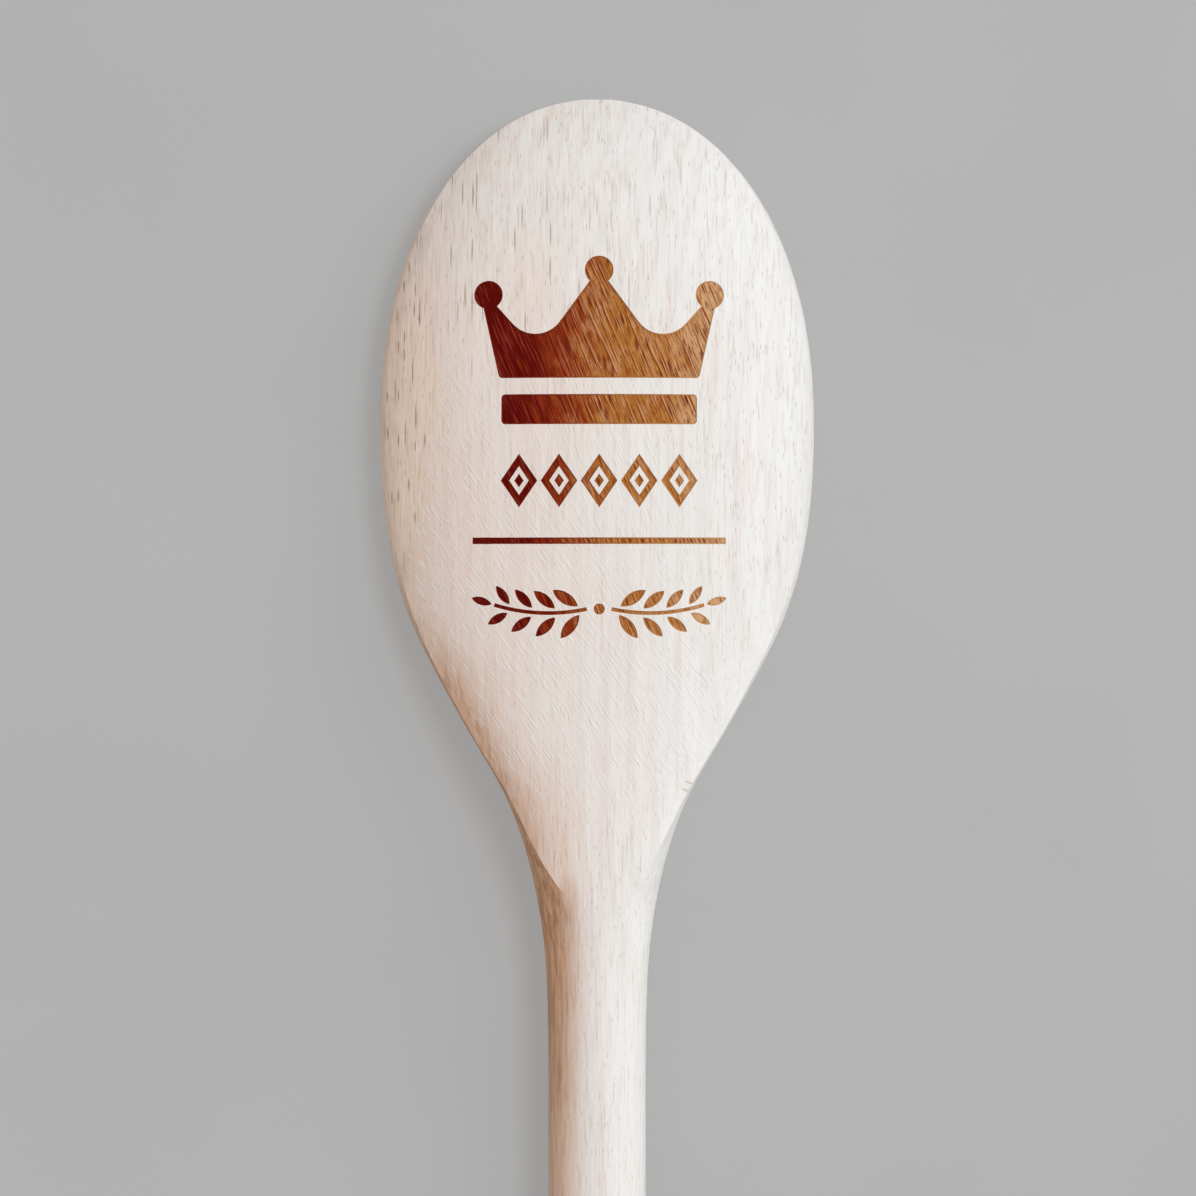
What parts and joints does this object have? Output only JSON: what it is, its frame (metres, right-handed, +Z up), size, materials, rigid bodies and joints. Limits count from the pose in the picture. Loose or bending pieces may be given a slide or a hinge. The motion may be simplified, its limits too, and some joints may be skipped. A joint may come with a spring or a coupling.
{
  "type": "wooden spoon",
  "caption": "Wooden cooking spoon with an oval bowl, a crowned back that runs out in a ridge on the neck, and a round handle, lying hollow side down.",
  "frame": {"origin": "on the surface that the spoon lies on, under the middle of its length and width", "axes": "+X across the bowl, +Y along the spoon to the tip of the bowl, +Z up, away from the surface: the spoon lies hollow side down"},
  "size_m": [0.062, 0.3, 0.0164],
  "materials": {
    "beech": "sanded bare beech, matt"
  },
  "bodies": {
    "root": {"spoon": "beech"}
  },
  "joints": []
}
